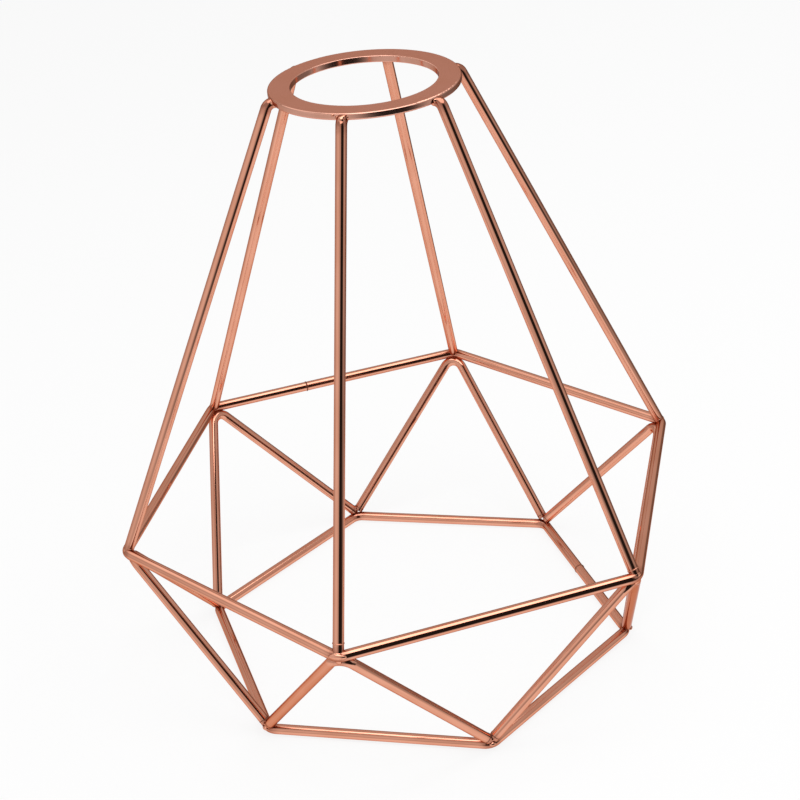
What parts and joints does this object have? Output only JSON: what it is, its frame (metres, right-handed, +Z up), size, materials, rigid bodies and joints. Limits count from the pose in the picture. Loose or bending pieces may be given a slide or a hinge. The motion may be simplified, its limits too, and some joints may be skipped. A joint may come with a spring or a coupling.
{
  "type": "wire lampshade",
  "caption": "Open wire cage lampshade: flat lampholder ring, ribs to a hexagonal girdle hoop, V struts to a smaller lower hoop, rose-gold plated.",
  "frame": {"origin": "on the shade's axis, level with the underside of the lower hoop", "axes": "+Z up along the shade's axis to the lampholder ring, -Y to the front corner of the girdle hoop"},
  "size_m": [0.159, 0.182, 0.1883],
  "materials": {
    "plated_rod": "polished",
    "plated_plate": "satin"
  },
  "bodies": {
    "root": {"mounting_ring": "plated_plate", "girdle_hoop": "plated_rod", "lower_hoop": "plated_rod", "rib_1": "plated_rod", "rib_2": "plated_rod", "rib_3": "plated_rod", "rib_4": "plated_rod", "rib_5": "plated_rod", "rib_6": "plated_rod", "strut_1": "plated_rod", "strut_2": "plated_rod", "strut_3": "plated_rod", "strut_4": "plated_rod", "strut_5": "plated_rod", "strut_6": "plated_rod"}
  },
  "joints": []
}
